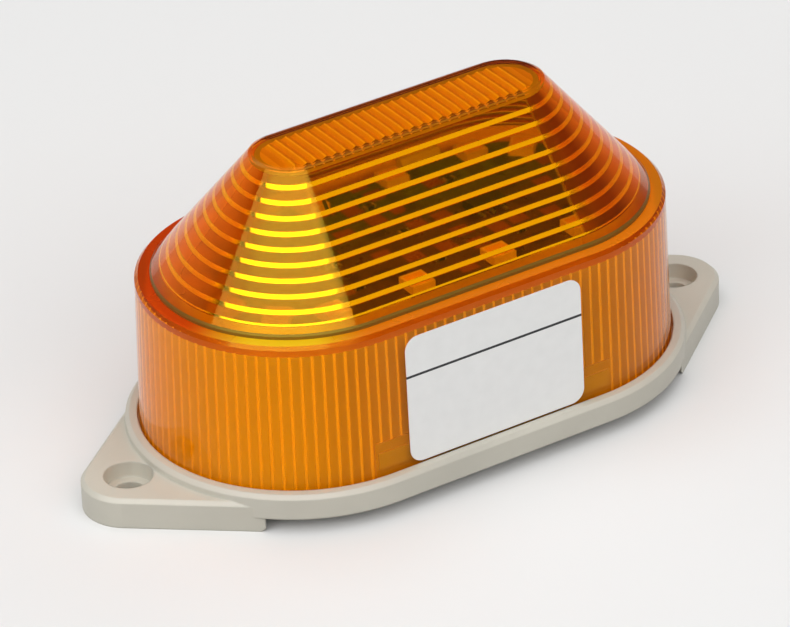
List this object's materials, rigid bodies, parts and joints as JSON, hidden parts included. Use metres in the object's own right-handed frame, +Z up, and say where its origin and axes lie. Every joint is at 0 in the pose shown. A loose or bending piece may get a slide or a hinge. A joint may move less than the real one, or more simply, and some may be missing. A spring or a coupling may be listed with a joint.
{
  "type": "strobe beacon",
  "caption": "Amber strobe beacon: obround prismatic lens with a sloped ribbed roof and flat top, clipped onto a beige base tray with screw ears, over a board of LEDs.",
  "frame": {"origin": "on the mounting surface, midway between the two screw holes", "axes": "+X along the line of the screw holes, -Y towards the labelled front, +Z up through the lens"},
  "size_m": [0.127, 0.06, 0.0559],
  "materials": {
    "base_plastic": "fine matte",
    "lens_amber": "clear gloss",
    "label_film": "satin film",
    "board_mask": "solder mask",
    "led_housing": "matte",
    "led_resin": "gloss",
    "resistor_body": "glazed",
    "tin": "tinned",
    "chip_mould": "matte",
    "film_coat": "dipped coat",
    "can_sleeve": "bare can",
    "seal_rubber": "matte",
    "fuse_case": "matte",
    "terminal_case": "satin",
    "cage_brass": "plain",
    "screw_steel": "zinc plated",
    "grommet_rubber": "matte"
  },
  "bodies": {
    "base": {"base_tray": "base_plastic", "cable_grommet": "grommet_rubber", "led_board": "board_mask", "led_packages": "led_housing", "led_windows": "led_resin", "chip_resistors": "resistor_body", "resistor_ends": "tin", "timer_chip": "chip_mould", "timer_pins": "tin", "switch_transistor": "chip_mould", "transistor_legs": "tin", "dropper_capacitor": "film_coat", "smoothing_capacitor": "can_sleeve", "capacitor_seal": "seal_rubber", "bridge_rectifier": "chip_mould", "rectifier_legs": "tin", "supply_fuse": "fuse_case", "fuse_legs": "tin", "terminal_block": "terminal_case", "terminal_cages": "cage_brass", "terminal_screws": "screw_steel"},
    "lens": {"lens_cover": "lens_amber", "rating_label": "label_film"}
  },
  "joints": [
    {"name": "lens_lift", "type": "slide", "parent": "base", "child": "lens", "axis": [0, 0, 1], "range_m": [0, 0.066]}
  ]
}
